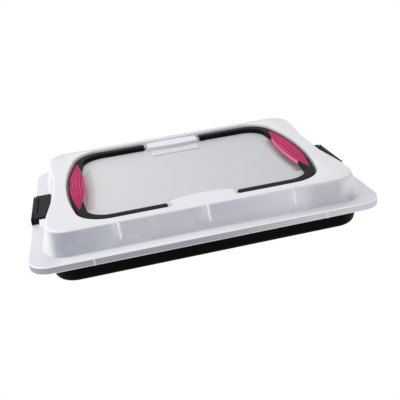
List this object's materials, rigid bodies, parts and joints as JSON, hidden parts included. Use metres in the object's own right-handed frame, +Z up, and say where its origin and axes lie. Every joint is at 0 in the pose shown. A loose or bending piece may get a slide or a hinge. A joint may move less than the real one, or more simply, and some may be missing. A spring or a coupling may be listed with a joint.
{
  "type": "covered baking tray",
  "caption": "Rectangular steel baking tray under a clip-on translucent lid with two fold-flat carrying handles set into its top.",
  "frame": {"origin": "centre of the tray's underside, on the surface it stands on", "axes": "+X along the tray, +Y to its back, +Z up"},
  "size_m": [0.45, 0.3368, 0.068],
  "materials": {
    "coated_steel": "black non-stick coating, satin",
    "lid_plastic": "translucent white moulded plastic, soft satin",
    "handle_plastic": "black moulded plastic, satin",
    "grip_rubber": "pink soft-touch grip with lengthwise grooves",
    "clip_plastic": "black moulded plastic, satin",
    "steel": "plain steel pins and screws"
  },
  "bodies": {
    "tray": {"baking_pan": "coated_steel"},
    "lid": {"lid_shell": "lid_plastic", "hinge_block_front": "lid_plastic", "hinge_block_back": "lid_plastic", "block_screws_front": "steel", "block_screws_back": "steel", "clip_base_left": "clip_plastic", "clip_base_right": "clip_plastic", "clip_pin_left": "steel", "clip_pin_right": "steel", "clip_screws_left": "steel", "clip_screws_right": "steel", "handle_pins_left": "steel", "handle_pins_right": "steel"},
    "handle_left": {"handle_frame_left": "handle_plastic", "grip_left": "grip_rubber"},
    "clip_left": {"clip_flap_left": "clip_plastic"},
    "handle_right": {"handle_frame_right": "handle_plastic", "grip_right": "grip_rubber"},
    "clip_right": {"clip_flap_right": "clip_plastic"}
  },
  "joints": [
    {"name": "lid_lift", "type": "slide", "parent": "tray", "child": "lid", "axis": [0, 0, 1], "range_m": [0, 0.12]},
    {"name": "handle_left_swing", "type": "hinge", "parent": "lid", "child": "handle_left", "pos_m": [-0.0478, 0, 0.0606], "axis": [0, 1, 0], "range_deg": [0, 110]},
    {"name": "clip_left_flap", "type": "hinge", "parent": "lid", "child": "clip_left", "pos_m": [-0.21941, 0, 0.0414], "axis": [0, 1, 0], "range_deg": [0, 90]},
    {"name": "handle_right_swing", "type": "hinge", "parent": "lid", "child": "handle_right", "pos_m": [0.0478, 0, 0.0606], "axis": [0, -1, 0], "range_deg": [0, 110]},
    {"name": "clip_right_flap", "type": "hinge", "parent": "lid", "child": "clip_right", "pos_m": [0.21941, 0, 0.0414], "axis": [0, -1, 0], "range_deg": [0, 90]}
  ]
}
